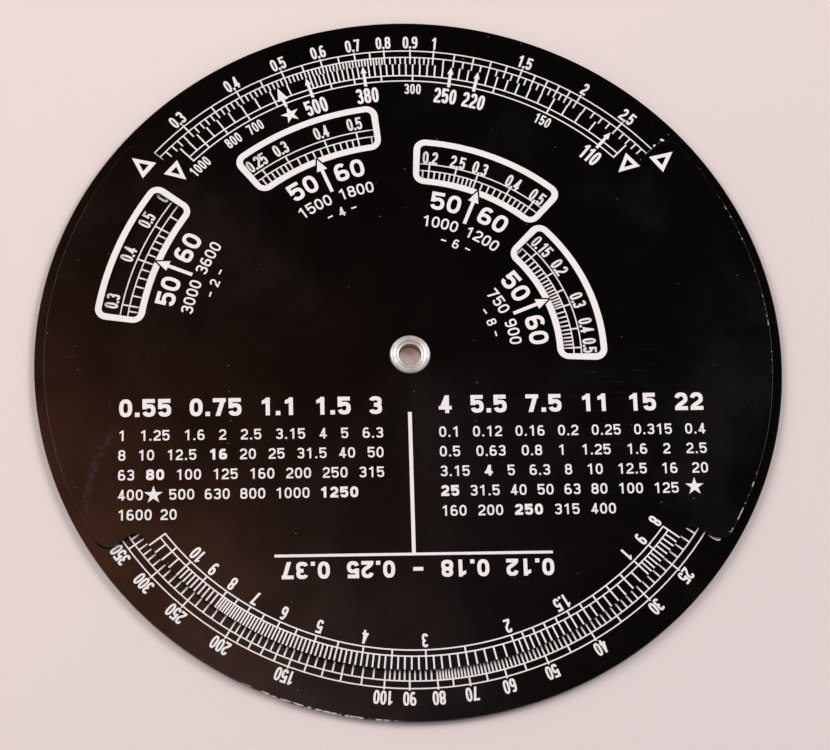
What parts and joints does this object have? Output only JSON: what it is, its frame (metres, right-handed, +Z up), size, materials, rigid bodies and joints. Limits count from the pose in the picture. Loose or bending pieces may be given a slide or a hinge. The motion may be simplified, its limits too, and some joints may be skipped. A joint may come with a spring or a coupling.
{
  "type": "circular slide rule",
  "caption": "Flat circular slide rule: a round base disc with logarithmic scales under a turning cover disc with edge cut-outs and curved windows, joined by a hollow eyelet.",
  "frame": {"origin": "on the pivot's axis, at the lowest face of the eyelet's clinched end, which the part rests on", "axes": "+Z up along the pivot out of the printed faces, +Y towards the middle of the cover's top cut-out at rest, +X to the right as the print is read"},
  "size_m": [0.16, 0.16, 0.003],
  "materials": {
    "base_plastic": "satin black sheet with fine scuffs",
    "cover_plastic": "satin black sheet with fine scuffs",
    "eyelet_metal": "bright, lightly worn",
    "base_print": "white screen print",
    "cover_print": "white screen print"
  },
  "bodies": {
    "base": {"base_disc": "base_plastic", "eyelet": "eyelet_metal", "ampere_scale": "base_print", "power_scale_1": "base_print", "power_scale_2": "base_print", "power_scale_3": "base_print", "power_scale_4": "base_print"},
    "cover": {"cover_disc": "cover_plastic", "volt_scale": "cover_print", "lower_scale": "cover_print", "star_mark": "cover_print", "divider_lines": "cover_print", "window_frame_1": "cover_print", "window_frame_2": "cover_print", "window_frame_3": "cover_print", "window_frame_4": "cover_print", "window_arrow_1": "cover_print", "window_arrow_2": "cover_print", "window_arrow_3": "cover_print", "window_arrow_4": "cover_print"}
  },
  "joints": [
    {"name": "cover_turn", "type": "hinge", "parent": "base", "child": "cover", "pos_m": [0, 0, 0.0019], "axis": [0, 0, 1], "continuous": true}
  ]
}
